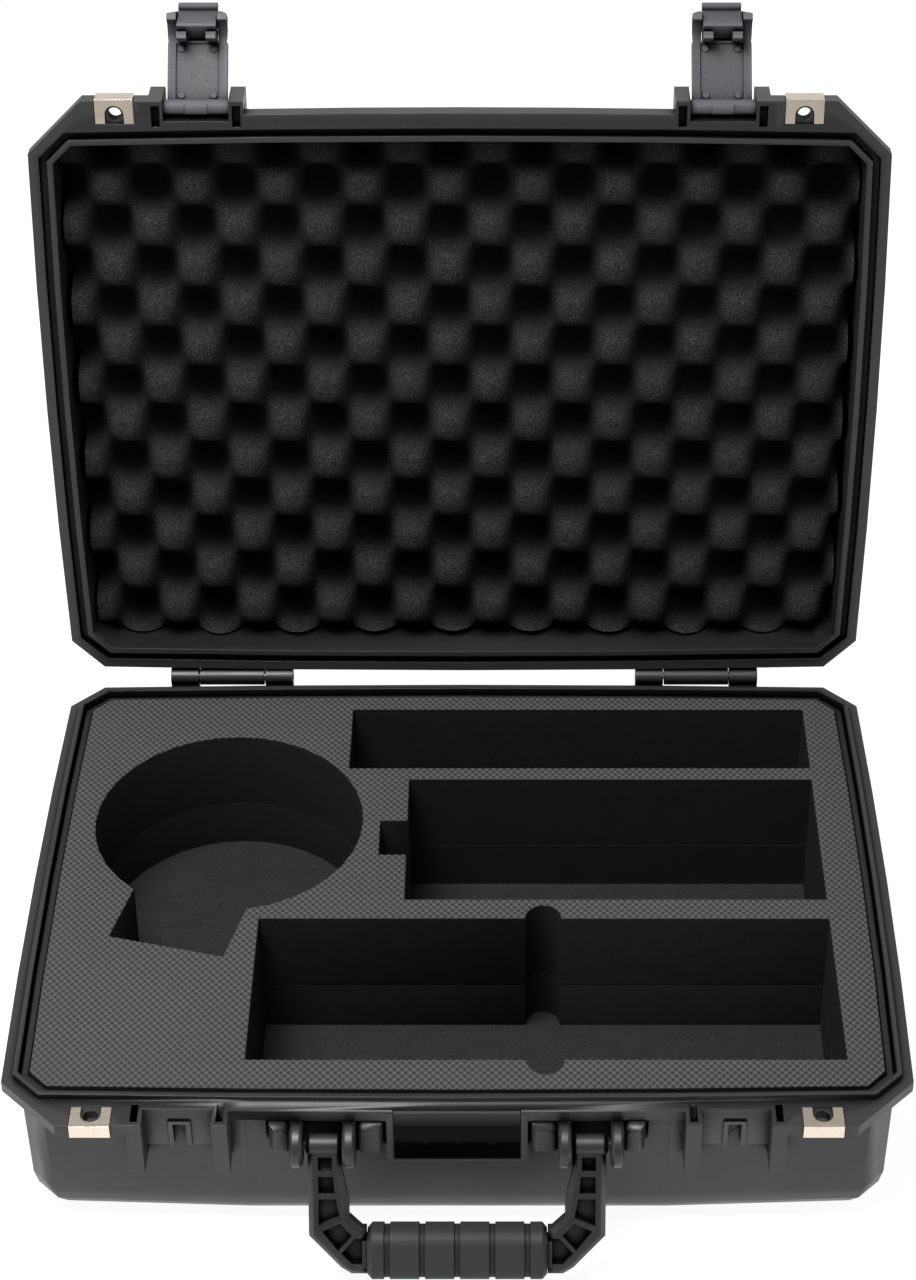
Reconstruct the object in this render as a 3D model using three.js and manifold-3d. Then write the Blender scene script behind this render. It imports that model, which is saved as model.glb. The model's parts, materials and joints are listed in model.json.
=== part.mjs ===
// Waterproof flight case with a cut foam insert, shown open.
// Lengths are in millimetres. Inside the case group, x runs to the right, y runs back from
// the front edge of the padlock wings, and z runs up from the plane where base and lid meet.
// The outer group moves all of it, so that the origin is the middle of the bottom face.

import * as THREE from 'three';
import { mergeVertices } from 'three/addons/utils/BufferGeometryUtils.js';
import Module from 'manifold-3d';

const wasm = await Module();
wasm.setup();

const half = (length) => length / 2;
const radians = THREE.MathUtils.degToRad;

// Play between pieces
const gap = 0.3;             // between pieces that touch
const overrun = 1;            // a cutting shape runs this far past the face that it cuts
const partingGap = 0.4;       // between the rims of base and lid when the case is shut

// Rim, seen from above
const rimWidth = 500;
const rimDepth = 386.4;
const rimFrontLeg = 33.7;     // leg of the cut corners at the front, measured from the front edge
const rimRearLeg = 19.6;
const wingFront = 0.8;        // front face of wings, ribs and ears
const sideBow = 2.3;          // how far the moulded sides swell outwards
const rearBow = 2.8;
const sealBow = 2.7;
const flangeBow = 1.1;
const latchSetBack = 13.3;    // front edge of the rim between the ribs of a latch
const baseSetBack = 11.9;     // front edge of the rim between the two latches, base
const lidSetBack = 9.2;       // the same on the lid
const flangeThickness = 7;
const lidFlangeThickness = 9;

// Seal: a tongue on the base enters a groove with a gasket in the lid
const sealFront = 14.2;       // front edge of the outline that the seal follows
const grooveInset = 6;
const tongueInset = 6.4;
const tongueWidth = 2.7;
const tongueHeight = 4;
const drainWidth = 1.5;       // channel behind the tongue
const drainDepth = 3;
const ledgeDrop = 0.5;        // the inner wall of the base ends this far below the rim
const lipInset = 10.7;
const gasketThickness = 2.3;
const gasketPlay = 0.35;

// Shells
const baseDepth = 99;
const lidDepth = 45;
const wall = 4;
const sideSetIn = 10;         // the rim reaches this far past the side walls
const rearSetIn = 9.9;        // and this far past the rear wall
const bodyWidth = rimWidth - sideSetIn - sideSetIn;
const bodyFront = 17;
const bodyRear = rimDepth - rearSetIn;
const cornerFall = 4;         // the front wall falls back this far towards its corners
const flatHalfWidth = 117;    // half of the front wall that does not fall back
const bodyCornerLeg = 13;
const frontDraft = 2.6;
const sideDraft = 0.8;
const baseEdgeRadius = 26;
const lidEdgeRadius = 16;
const originSetBack = 200;    // from the front edge back to the middle of the bottom face

// Raised field with channels on top of the lid
const fieldHeight = 1.6;
const fieldInset = 50;
const fieldBevel = 2.4;
const fieldLeg = 18;
const channelMargin = 34;
const channelWidth = 9;
const channelPitch = 62;
const channelDepth = 1.2;
const channelCount = 4;

// Hinges
const hingeInset = 101;       // from a side of the rim to the middle of a hinge
const hingeSetBack = 8.6;     // from the rear edge of the rim to the pins
const hingeX = half(rimWidth) - hingeInset;
const hingeY = rimDepth + hingeSetBack;
const hingeZ = 2.54;
const knuckleRadius = 5.6;
const lidKnuckleLength = 41;
const knuckleGap = 0.8;
const baseKnuckleLength = 17.8;
const hingePinRadius = 2;
const bracketDrop = 17;       // how far the bracket flares down the wall
const bracketRun = 9;         // how far the bracket reaches in from the rear edge

// Latches
const latchInset = 98.5;      // from a side of the rim to the middle of a latch
const latchX = half(rimWidth) - latchInset;
const earInnerReach = 19;     // from the middle of the latch to the inner face of an ear
const earWidth = 8.5;
const earHeight = 25;
const earBevel = 2.5;
const earDepth = 22;
const ribHeight = 38;
const ribFoot = 2;
const slotWidth = 3.9;
const slotFront = 3.9;
const slotRear = 16.8;
const ribSlotDepth = 28;
const earSlotWidth = 4.9;
const earSlotDepth = 4.6;
const latchPivotY = 7.8;
const latchPivotZ = 8;
const latchPinRadius = 2;
const barrelRadius = 4.6;
const barrelLength = 37.2;
const latchWidth = 34.6;
const latchReach = 59.6;      // from the pivot to the free end
const plateInner = 3.5;       // inner face of the plate, out from the pivot
const plateThickness = 5;
const panelWidth = 25;
const panelStart = 5;
const panelEnd = 39;
const panelDepth = 1;
const cheekDepth = 10;
const cheekSpan = 10.5;       // length over which a cheek curves in
const cheekTip = 9.6;         // length of a cheek past that curve
const cheekEndRise = 5.8;     // the end face of a cheek slopes by this much
const cheekBevel = 3.6;
const cheekBevelDepth = 5.6;
const cornerWidth = 4.6;      // cut off the outer corners of the free end
const cornerRun = 6;
const barrelBumpWidth = 12.4;
const barrelBumpHeight = 0.5;
const barrelBumpSpan = 6;
const barrelBumpTurn = 31.5;  // degrees, from straight inwards up
const ejectorRadius = 1.9;
const ejectorHeight = 0.4;
const ejectorInset = 3.2;

// Trigger in the free end of the latch
const triggerWidth = 22.5;
const triggerPlay = 0.6;
const openingReach = 40.4;    // from the latch pivot to the opening that the trigger sits in
const triggerPinReach = 47.5; // from the latch pivot
const triggerPinRadius = 1.2;
const triggerPinInset = 1.8;  // outwards from the inner face of the plate
const clawRoot = 44.5;        // where the claws leave the trigger, from the latch pivot
const clawReach = 38.2;       // from the latch pivot to the face that hooks under the ledge
const clawDepth = 12.2;       // inwards from the inner face of the plate
const clawWidth = 5.6;
const clawThickness = 2.6;
const tabReach = 63.6;
const rollDepth = 3;          // the roll at the end of the tab stands this far in
const rollLength = 4.4;
const lipDepth = 11;
const lipReach = 47.2;
const springWire = 0.8;
const springPitch = 1.3;
const springTurns = 4;
const springStepsPerTurn = 8;
const springSides = 5;
const triggerRise = 6.2;      // the trigger reaches this far past its pin, towards the pivot

// Catch on the base, between the ribs
const catchDrop = 29.6;      // the claw hooks under this ledge, below the rim
const catchFront = 15.8;
const bridgeWidth = 12.4;
const bridgeHeight = 1.2;
const bridgeTop = 9.4;
const bridgeSlotWidth = 7;
const bridgeSlotTop = 11.8;

// Padlock clips
const clipInset = 51.7;       // from a side of the rim to the middle of a clip
const clipX = half(rimWidth) - clipInset;
const clipWidth = 22;
const clipLength = 14.7;
const clipSheet = 1;
const clipHoleY = 9.2;
const clipHoleRadius = 4;
const clipNotchRadius = 5.5;

// Handle
const handlePivotY = 4;
const handlePivotZ = -18;
const eyeRadius = 6.1;
const eyeBevel = 2.2;
const eyeOuter = 82;
const eyeInner = 62.6;
const earDiscRadius = 12.5;
const outerEarEnd = 90.6;
const outerEarStart = 83.7;
const innerEarEnd = 62;
const innerEarStart = 55;
const outerBlockEnd = 102.4;
const innerBlockStart = 40.6;
const blockFront = 6.7;
const blockTop = 7.6;
const blockFoot = 26;
const blockBevel = 3;
const blockCorner = 4.4;      // cut off a block's upper corner beside its disc
const bayOuter = 104.5;
const bayInner = 37.6;
const bayDepth = 8;
const bayFoot = 27;
const handlePinRadius = 3;
const handlePinInset = 1.2;   // a pin ends this far inside the outer faces of its two discs
const discBevel = 1.6;
const armThickness = 11;
const armBevel = 2.6;
const armStraight = 52;
const armReach = 74.6;
const armFootRun = 4.6;       // a short slope rounds an arm's lowest corner
const armTaperStart = 14;
const armTaperEnd = 32.5;
const armTaper = 3.7;
const armElbow = 40.8;
const armNeck = 47.7;
const armStep = 13.1;         // from one rung of an arm to the next
const armRung = 3.3;
const armPocketTop = 8.2;     // length of the first pocket
const armPocketDepth = 4;
const armRim = 6.6;
const armInnerRim = 5.2;
const armInnerLean = 1.3;     // each pocket reaches further in by this much
const kneeRungOuter = 46.9;   // the slanting rung at the knee: its two ends, below the pins
const kneeRungInner = 42.1;
const bendRungOuterX = 64.2;  // the slanting rung past the knee: its two ends
const bendRungOuter = 60.8;
const bendRungInnerX = 56.6;
const bendRungInner = 51.9;
const gripCentre = 62.2;
const gripHalfLength = 49.2;
const gripHeight = 29;
const gripThickness = 24;
const gripCorner = 8;
const gripGroove = 3.2;
const gripGrooveDepth = 1.1;
const gripPitch = 19.2;
const gripGrooveCount = 5;
const gripTaperLength = 2.6;
const gripTaper = 3;
const coreHeight = 16;
const coreThickness = 12;

// Name plate, bare
const plateHalfWidth = 34.5;
const plateTop = 1;
const plateFoot = 36;
const plateSheet = 2;
const plateFrame = 4;
const plateFront = 10.8;
const plateSideRun = 3.7;

// Foam in the base, in two cut layers on a floor pad
const foamTop = 2;            // above the rim
const foamPlay = 0.8;
const floorPad = 15;          // thickness of the pad
const lowerLayer = 33;        // thickness of the lower layer
const foamFloor = baseDepth - floorPad; // below the rim
const foamSeam = foamFloor - lowerLayer;
const roundPocketRadius = 80.8;
const roundPocketInset = 109.35; // from the left side of the rim to the middle of the pocket
const roundPocketSetIn = 133.8;  // the same from the rear edge
const roundPocketX = roundPocketInset - half(rimWidth);
const roundPocketY = rimDepth - roundPocketSetIn;
const stemWidth = 69.2;
const stemReach = 115.1;      // from the middle of the round pocket
const stemTurn = 14.4;        // degrees
const pocketInset = 35.1;     // from the right side of the rim to the three straight pockets
const pocketRight = half(rimWidth) - pocketInset;
const pocketSetIn = 25;       // from the rear edge of the rim to the rear pocket
const rearPocketDepth = 58.6;
const rearPocketWall = 10.9;  // of foam, between the rear and the middle pocket
const middlePocketDepth = 110.5;
const middlePocketWall = 16.7;
const frontPocketEdge = 49.5;
const rearPocketFront = rimDepth - pocketSetIn - rearPocketDepth;
const middlePocketRear = rearPocketFront - rearPocketWall;
const middlePocketFront = middlePocketRear - middlePocketDepth;
const rearPocket = { left: -70.1, front: rearPocketFront, rear: rimDepth - pocketSetIn };
const middlePocket = { left: -32.8, front: middlePocketFront, rear: middlePocketRear };
const frontPocket = { left: -117.3, front: frontPocketEdge, rear: middlePocketFront - middlePocketWall };
const notchDepth = 16.5;
const notchLength = 31.1;
const notchSetIn = 39.3;      // from the rear wall of the middle pocket
const notchRear = middlePocketRear - notchSetIn;
const notchFront = notchRear - notchLength;
const bulgeX = 48.5;
const bulgeWidth = 21;
const bulgeDepth = 11.5;

// Convoluted foam in the lid
const convolutionPitch = 50;
const convolutionPhaseX = -7.5;
const convolutionPhaseY = 62.4;
const convolutionPeak = 14;   // height over the rim, lid shut
const convolutionValley = 33;
const stepsPerPitch = 4;

// How the case stands in the photograph, in degrees
const lidOpenAngle = 94.48;
const latchOpenAngle = 128;
const handleSwing = 22.8;

// Fineness of round shapes
const bowSteps = 4;
const arcSteps = 4;
const roundSides = 24;
const fineSides = 36;

// A straight cut at 45 degrees loses this share of an inset
const legShrink_share = 2 - Math.SQRT2;

// Solids for joining and cutting

function solid(geometry) {
  const bare = geometry.clone();
  bare.deleteAttribute('normal');
  bare.deleteAttribute('uv');
  const merged = mergeVertices(bare);
  const corners = merged.index.array;
  const faces = [];
  for (let i = 0; i < corners.length; i += 3) {
    const [a, b, c] = [corners[i], corners[i + 1], corners[i + 2]];
    if (a !== b && b !== c && c !== a) faces.push(a, b, c);
  }
  return new wasm.Manifold(new wasm.Mesh({
    numProp: 3,
    vertProperties: Float32Array.from(merged.attributes.position.array),
    triVerts: Uint32Array.from(faces),
  }));
}

function geometryOf(body) {
  const mesh = body.getMesh();
  const geometry = new THREE.BufferGeometry();
  geometry.setAttribute('position', new THREE.BufferAttribute(mesh.vertProperties, 3));
  geometry.setIndex(new THREE.BufferAttribute(mesh.triVerts, 1));
  return geometry;
}

const joined = (bodies) => bodies.reduce((sum, body) => sum.add(body));

// A prism over a plan of [x, y] points, from one height to another
function prism(plan, from, to) {
  const shape = new THREE.Shape(plan.map(([x, y]) => new THREE.Vector2(x, y)));
  const geometry = new THREE.ExtrudeGeometry(shape, { depth: to - from, bevelEnabled: false });
  return solid(geometry.translate(0, 0, from));
}

// A side profile of [y, z] points, run across from one x to another
function profile(points, from, to) {
  const shape = new THREE.Shape(points.map(([y, z]) => new THREE.Vector2(y, z)));
  const geometry = new THREE.ExtrudeGeometry(shape, { depth: to - from, bevelEnabled: false });
  const turn = new THREE.Matrix4().makeBasis(
    new THREE.Vector3(0, 1, 0), new THREE.Vector3(0, 0, 1), new THREE.Vector3(1, 0, 0));
  return solid(geometry.applyMatrix4(turn).translate(from, 0, 0));
}

// A box between two values of x, y and z
function block([x0, x1], [y0, y1], [z0, z1]) {
  const geometry = new THREE.BoxGeometry(x1 - x0, y1 - y0, z1 - z0);
  return solid(geometry.translate(half(x0 + x1), half(y0 + y1), half(z0 + z1)));
}

// A rod along x around the point (y, z)
function rod(radius, [x0, x1], y, z, sides = roundSides) {
  const geometry = new THREE.CylinderGeometry(radius, radius, x1 - x0, sides);
  return solid(geometry.rotateZ(half(Math.PI)).translate(half(x0 + x1), y, z));
}

// A disc along x with cut edges, around the point (y, z)
function bevelledDisc(radius, [x0, x1], y, z, bevel) {
  const width = x1 - x0;
  const edge = [
    [0, 0], [radius - bevel, 0], [radius, bevel],
    [radius, width - bevel], [radius - bevel, width], [0, width],
  ];
  const geometry = new THREE.LatheGeometry(edge.map(([r, h]) => new THREE.Vector2(r, h)), roundSides);
  return solid(geometry.rotateZ(-half(Math.PI)).translate(x0, y, z));
}

// An upright rod around the point (x, y)
function post(radius, x, y, [z0, z1], sides = roundSides) {
  const geometry = new THREE.CylinderGeometry(radius, radius, z1 - z0, sides);
  return solid(geometry.rotateX(half(Math.PI)).translate(x, y, half(z0 + z1)));
}

// A skin over rings of points, each ring as long as the next, lowest first
function loft(rings) {
  const count = rings[0].length;
  const vertices = rings.flat(2);
  const faces = [];
  for (let r = 0; r + 1 < rings.length; r++) {
    for (let i = 0; i < count; i++) {
      const next = (i + 1) % count;
      const [a, b] = [r * count + i, r * count + next];
      faces.push(a, b, b + count, a, b + count, a + count);
    }
  }
  const last = (rings.length - 1) * count;
  const flat = rings.map((ring) => ring.map(([x, y]) => new THREE.Vector2(x, y)));
  for (const [a, b, c] of THREE.ShapeUtils.triangulateShape(flat[0], [])) faces.push(c, b, a);
  for (const [a, b, c] of THREE.ShapeUtils.triangulateShape(flat[rings.length - 1], [])) {
    faces.push(last + a, last + b, last + c);
  }
  const geometry = new THREE.BufferGeometry();
  geometry.setAttribute('position', new THREE.Float32BufferAttribute(vertices, 3));
  geometry.setIndex(faces);
  return solid(geometry);
}

// The same body on both sides of the middle plane
function both(body) {
  return body.add(body.mirror([1, 0, 0]));
}

// Outlines

// Points of a side that bows outwards, without its last point
function bowed(from, to, bow) {
  const run = [to[0] - from[0], to[1] - from[1]];
  const length = Math.hypot(run[0], run[1]);
  const points = [];
  for (let i = 0; i < bowSteps; i++) {
    const share = i / bowSteps;
    const push = bow * (1 - (2 * share - 1) ** 2) / length;
    points.push([from[0] + run[0] * share + run[1] * push, from[1] + run[1] * share - run[0] * push]);
  }
  return points;
}

// An eight-sided outline with bowed sides, anticlockwise from the front left
function octagon(halfWidth, front, rear, frontLeg, rearLeg, frontBow) {
  const corners = [
    [frontLeg - halfWidth, front], [halfWidth - frontLeg, front],
    [halfWidth, front + frontLeg], [halfWidth, rear - rearLeg],
    [halfWidth - rearLeg, rear], [rearLeg - halfWidth, rear],
    [-halfWidth, rear - rearLeg], [-halfWidth, front + frontLeg],
  ];
  const bows = [frontBow, 0, sideBow, 0, rearBow, 0, sideBow, 0];
  return corners.flatMap((corner, i) => (
    bows[i] ? bowed(corner, corners[(i + 1) % corners.length], bows[i]) : [corner]));
}

// A cut corner gets shorter where a wall rounds in towards its floor
const roundedLeg = (leg, roundInset) => leg * (1 - half(roundInset) / baseEdgeRadius);

// The outline that the seal follows, moved in by an inset and by what a rounded edge takes
function sealOutline(inset, roundInset = 0) {
  const frontLeg = roundedLeg(rimFrontLeg - sealFront - legShrink_share * inset, roundInset);
  const rearLeg = roundedLeg(rimRearLeg - legShrink_share * inset, roundInset);
  const all = inset + roundInset;
  return octagon(half(rimWidth) - all, sealFront + all, rimDepth - all, frontLeg, rearLeg, sealBow);
}

// A ring between two insets of the seal outline
function sealRing(outer, inner, from, to) {
  return prism(sealOutline(outer), from, to)
    .subtract(prism(sealOutline(inner), from - overrun, to + overrun));
}

// The rim with its padlock wings at the front corners
function rimPlan(middleSetBack) {
  const wide = half(rimWidth);
  const wingEnd = wide - rimFrontLeg + wingFront;
  const wingStart = latchX + earInnerReach + earWidth;
  const middleEnd = latchX - earInnerReach - earWidth;
  const frontCorner = rimFrontLeg;
  return [
    [-wingEnd, wingFront], [-wingStart, wingFront], [-wingStart, latchSetBack],
    [-middleEnd, latchSetBack],
    ...bowed([-middleEnd, middleSetBack], [middleEnd, middleSetBack], flangeBow),
    [middleEnd, middleSetBack], [middleEnd, latchSetBack],
    [wingStart, latchSetBack], [wingStart, wingFront], [wingEnd, wingFront],
    ...bowed([wide, frontCorner], [wide, rimDepth - rimRearLeg], sideBow),
    [wide, rimDepth - rimRearLeg],
    ...bowed([wide - rimRearLeg, rimDepth], [rimRearLeg - wide, rimDepth], rearBow),
    [rimRearLeg - wide, rimDepth],
    ...bowed([-wide, rimDepth - rimRearLeg], [-wide, frontCorner], sideBow),
    [-wide, frontCorner],
  ];
}

// One level of a shell's outer wall
function bodyRing(inset, frontInset, z) {
  const wide = half(bodyWidth) - inset;
  const leg = roundedLeg(bodyCornerLeg, inset);
  const front = bodyFront + frontInset;
  const corner = front + cornerFall;
  const rear = bodyRear - inset;
  return [
    [leg - wide, corner], [-flatHalfWidth, front], [flatHalfWidth, front], [wide - leg, corner],
    ...bowed([wide, corner + leg], [wide, rear - leg], sideBow), [wide, rear - leg],
    ...bowed([wide - leg, rear], [leg - wide, rear], rearBow), [leg - wide, rear],
    ...bowed([-wide, rear - leg], [-wide, corner + leg], sideBow), [-wide, corner + leg],
  ].map(([x, y]) => [x, y, z]);
}

// Heights and insets of a wall with draft that ends in a rounded edge
function wallLevels(start, end, radius) {
  const way = Math.sign(end - start);
  const levels = [{ z: start, draft_share: 0, inset: 0 }];
  for (let i = 0; i <= arcSteps; i++) {
    const angle = half(Math.PI) * i / arcSteps;
    levels.push({
      z: end - way * radius * (1 - Math.sin(angle)),
      draft_share: 1,
      inset: radius * (1 - Math.cos(angle)),
    });
  }
  return way > 0 ? levels : levels.reverse();
}

function outerBody(start, end, radius) {
  return loft(wallLevels(start, end, radius).map(({ z, draft_share, inset }) => (
    bodyRing(inset + sideDraft * draft_share, inset + frontDraft * draft_share, z))));
}

function innerSpace(inset, start, end, radius) {
  return loft(wallLevels(start, end, radius).map((level) => (
    sealOutline(inset + sideDraft * level.draft_share, level.inset).map(([x, y]) => [x, y, level.z]))));
}

// Base

const cavityInset = lipInset + wall - gap - gap;
const wallTopInset = tongueInset + tongueWidth + drainWidth;

function latchRibs() {
  const outline = [
    [wingFront, 0], [wingFront, ribFoot - ribHeight], [wingFront + ribFoot, -ribHeight],
    [bodyFront + cornerFall, -ribHeight - half(ribFoot)], [bodyFront + cornerFall, 0],
  ];
  const ribs = [-1, 1].map((side) => {
    const middle = latchX + side * (earInnerReach + half(earWidth));
    const rib = profile(outline, middle - half(earWidth), middle + half(earWidth));
    const across = [middle - half(slotWidth), middle + half(slotWidth)];
    const slot = block(across, [slotFront, slotRear], [-ribSlotDepth, overrun]);
    return { rib, slot };
  });
  return { ribs: both(joined(ribs.map((r) => r.rib))), slots: both(joined(ribs.map((r) => r.slot))) };
}

// Sloping plate under the rim that the latch hooks under, with a bridge-shaped rib on it
function catchPlates() {
  const rear = bodyFront + cornerFall;
  const edges = [latchX - earInnerReach - overrun, latchX + earInnerReach + overrun];
  const slope = (catchFront - latchSetBack) / catchDrop;
  const plate = profile(
    [[latchSetBack, 0], [catchFront, -catchDrop], [rear, -catchDrop], [rear, 0]].reverse(), ...edges);
  const faceAt = (drop) => latchSetBack + slope * drop - bridgeHeight;
  const bridge = profile([
    [rear, -bridgeTop], [rear, -catchDrop], [faceAt(catchDrop), -catchDrop], [faceAt(bridgeTop), -bridgeTop],
  ], latchX - half(bridgeWidth), latchX + half(bridgeWidth));
  const slot = block(
    [latchX - half(bridgeSlotWidth), latchX + half(bridgeSlotWidth)],
    [wingFront, bodyFront + half(cornerFall)], [-catchDrop - overrun, -bridgeSlotTop]);
  return both(plate.add(bridge).subtract(slot));
}

// Seats of the padlock clips in a wing, and the hole through it
function clipSeats(face, way, thickness) {
  const side = half(clipWidth) + gap;
  const depth = clipSheet + gap;
  const x = [clipX - side, clipX + side];
  const levels = (a, b) => [face + way * a, face + way * b].sort((low, high) => low - high);
  const seat = joined([
    block(x, [-overrun, clipLength + gap], levels(-overrun, depth)),
    block(x, [-overrun, wingFront + gap + gap], levels(-overrun, thickness + overrun)),
    post(clipHoleRadius, clipX, clipHoleY, levels(-overrun, thickness + overrun)),
  ]);
  return both(seat);
}

function padlockClip(thickness) {
  const side = half(clipWidth);
  const sheet = (z) => block([-side, side], [0, clipLength], z);
  const top = sheet([-clipSheet, 0]);
  const foot = sheet([-thickness - clipSheet - gap, -thickness - gap]);
  const front = block([-side, side], [0, clipSheet], [-thickness - clipSheet - gap, 0]);
  const below = -thickness - clipSheet - gap - overrun;
  const notch = block(
    [-clipNotchRadius, clipNotchRadius], [clipHoleY, clipLength + overrun], [below, overrun]);
  const round = post(clipNotchRadius, 0, clipHoleY, [below, overrun]);
  return joined([top, foot, front]).subtract(notch).subtract(round);
}

function hingeBracket(outline, x0, x1) {
  return profile(outline, x0, x1).add(rod(knuckleRadius, [x0, x1], hingeY, hingeZ));
}

function baseHinges() {
  const start = half(lidKnuckleLength) + knuckleGap;
  const inner = bodyRear - overrun;
  const outline = [
    [rimDepth - bracketRun, -overrun], [inner, -flangeThickness], [inner, -flangeThickness - bracketDrop],
    [hingeY + half(knuckleRadius), hingeZ - knuckleRadius - half(knuckleRadius)],
    [hingeY + knuckleRadius, hingeZ], [hingeY, hingeZ - half(knuckleRadius) - overrun],
  ];
  const knuckles = [-1, 1].map((side) => {
    const near = hingeX + side * start;
    const far = hingeX + side * (start + baseKnuckleLength);
    return hingeBracket(outline, Math.min(near, far), Math.max(near, far));
  });
  const bore = rod(hingePinRadius + gap, hingePinSpan(overrun), hingeY, hingeZ);
  return { knuckles: both(joined(knuckles)), bores: both(bore) };
}

// From end to end of one hinge
function hingePinSpan(extra) {
  const reach = half(lidKnuckleLength) + knuckleGap + baseKnuckleLength + extra;
  return [hingeX - reach, hingeX + reach];
}

// Discs and stop blocks that carry the handle, in a bay under the rim
function handleBrackets() {
  const rear = bodyFront + bayDepth + overrun;
  const webFoot = handlePivotZ - earDiscRadius + discBevel;
  const web = (x0, x1) => block(
    [x0, x1], [handlePivotY, rear], [webFoot, -flangeThickness - gap]);
  const disc = (x0, x1) => web(x0, x1).add(
    bevelledDisc(earDiscRadius, [x0, x1], handlePivotY, handlePivotZ, discBevel));
  const stop = (atDisc, end) => {
    const way = Math.sign(end - atDisc);
    const foot = blockFoot + blockBevel;
    const face = frontPlate([
      [atDisc, blockTop + blockCorner], [atDisc + way * blockCorner, blockTop], [end, blockTop], [end, foot],
      [atDisc, foot],
    ], blockFront, rear + blockBevel, blockBevel);
    return face.intersect(block(
      [Math.min(atDisc, end), Math.max(atDisc, end)], [0, rear + blockBevel], [-blockFoot, 0]));
  };
  const pinHole = rod(handlePinRadius + gap, handlePinSpan(gap), handlePivotY, handlePivotZ);
  const solids = joined([
    disc(outerEarStart, outerEarEnd), disc(innerEarStart, innerEarEnd),
    stop(outerEarEnd - overrun, outerBlockEnd), stop(innerEarStart + overrun, innerBlockStart),
  ]);
  return both(solids.subtract(pinHole));
}

function handlePinSpan(extra) {
  return [innerEarStart + handlePinInset - extra, outerEarEnd - handlePinInset + extra];
}

function handleBays() {
  const floor = bodyFront + bayDepth;
  const front = bodyFront - bayDepth;
  const outline = [
    [front, -flangeThickness], [floor, -flangeThickness], [floor, -flangeThickness - overrun],
    [bodyFront + overrun, -bayFoot], [front, -bayFoot],
  ];
  return both(profile(outline.reverse(), bayInner, bayOuter));
}

// Raised frame in the middle of the front that holds the name plate
function plateHolder() {
  const reach = plateHalfWidth + plateFrame;
  const foot = plateFoot + half(plateFrame);
  const rear = bodyFront + overrun;
  const holder = prism(
    [
      [-reach - plateSideRun, rear], [-reach, plateFront], [reach, plateFront],
      [reach + plateSideRun, rear],
    ],
    -foot, -overrun);
  const seat = block(
    [-plateHalfWidth - gap, plateHalfWidth + gap], [plateFront - bayDepth, plateFront + plateSheet + gap],
    [-plateFoot - gap, overrun]);
  return { holder, seat };
}

function baseShell() {
  const { ribs, slots } = latchRibs();
  const { knuckles, bores } = baseHinges();
  const { holder, seat } = plateHolder();
  const rim = prism(rimPlan(baseSetBack), -flangeThickness, 0);
  const tongue = prism(sealOutline(tongueInset), -overrun, tongueHeight);
  const wallTop = prism(sealOutline(wallTopInset), -drainDepth - overrun, -ledgeDrop);
  const drain = prism(sealOutline(tongueInset + tongueWidth), -drainDepth, tongueHeight + overrun);
  const space = innerSpace(cavityInset, tongueHeight + overrun, wall - baseDepth, baseEdgeRadius - wall);
  return outerBody(-overrun, -baseDepth, baseEdgeRadius)
    .subtract(handleBays())
    .add(joined([rim, ribs, catchPlates(), holder, knuckles, handleBrackets(), tongue]))
    .subtract(drain.subtract(wallTop))
    .subtract(joined([slots, seat, bores, clipSeats(0, -1, flangeThickness), space]));
}

// Lid, as it lies when shut

function lidEars() {
  const outline = [
    [wingFront, partingGap], [earDepth, partingGap], [earDepth, earHeight],
    [wingFront + earBevel, earHeight], [wingFront, earHeight - earBevel],
  ];
  const levels = [partingGap - overrun, partingGap + earSlotDepth];
  const ears = [-1, 1].map((side) => {
    const middle = latchX + side * (earInnerReach + half(earWidth));
    const ear = profile(outline, middle - half(earWidth), middle + half(earWidth));
    const slot = block(
      [middle - half(earSlotWidth), middle + half(earSlotWidth)], [slotFront, slotRear], levels);
    return { ear, slot };
  });
  const reach = earInnerReach + earWidth + overrun;
  const bore = rod(latchPinRadius + gap, [latchX - reach, latchX + reach], latchPivotY, latchPivotZ);
  return {
    ears: both(joined(ears.map((e) => e.ear)).subtract(bore)),
    earSlots: both(joined(ears.map((e) => e.slot))),
  };
}

function lidHinges() {
  const reach = half(lidKnuckleLength);
  const inner = bodyRear - overrun;
  const outline = [
    [rimDepth - bracketRun, lidFlangeThickness - overrun], [hingeY, hingeZ + half(knuckleRadius) + overrun],
    [hingeY + knuckleRadius, hingeZ],
    [hingeY + half(knuckleRadius), hingeZ + knuckleRadius + half(knuckleRadius)],
    [inner, lidFlangeThickness + bracketDrop], [inner, lidFlangeThickness],
  ];
  const boreSpan = [hingeX - reach - overrun, hingeX + reach + overrun];
  const bore = rod(hingePinRadius + gap, boreSpan, hingeY, hingeZ);
  return both(hingeBracket(outline, hingeX - reach, hingeX + reach).subtract(bore));
}

function lidField() {
  const inset = fieldInset;
  const top = lidDepth + fieldHeight;
  const ring = (more, z) => octagon(
    half(rimWidth) - inset - more, sealFront + inset + more, rimDepth - inset - more,
    fieldLeg - legShrink_share * more, fieldLeg - legShrink_share * more, sealBow).map(([x, y]) => [x, y, z]);
  const field = loft([ring(0, lidDepth - overrun), ring(0, lidDepth), ring(fieldBevel, top)]);
  const channels = [];
  for (let i = 0; i < channelCount; i++) {
    const y = half(rimDepth) + (i - half(channelCount - 1)) * channelPitch;
    channels.push(block(
      [inset + channelMargin - half(rimWidth), half(rimWidth) - inset - channelMargin],
      [y - half(channelWidth), y + half(channelWidth)], [top - channelDepth, top + overrun]));
  }
  return field.subtract(joined(channels));
}

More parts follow.
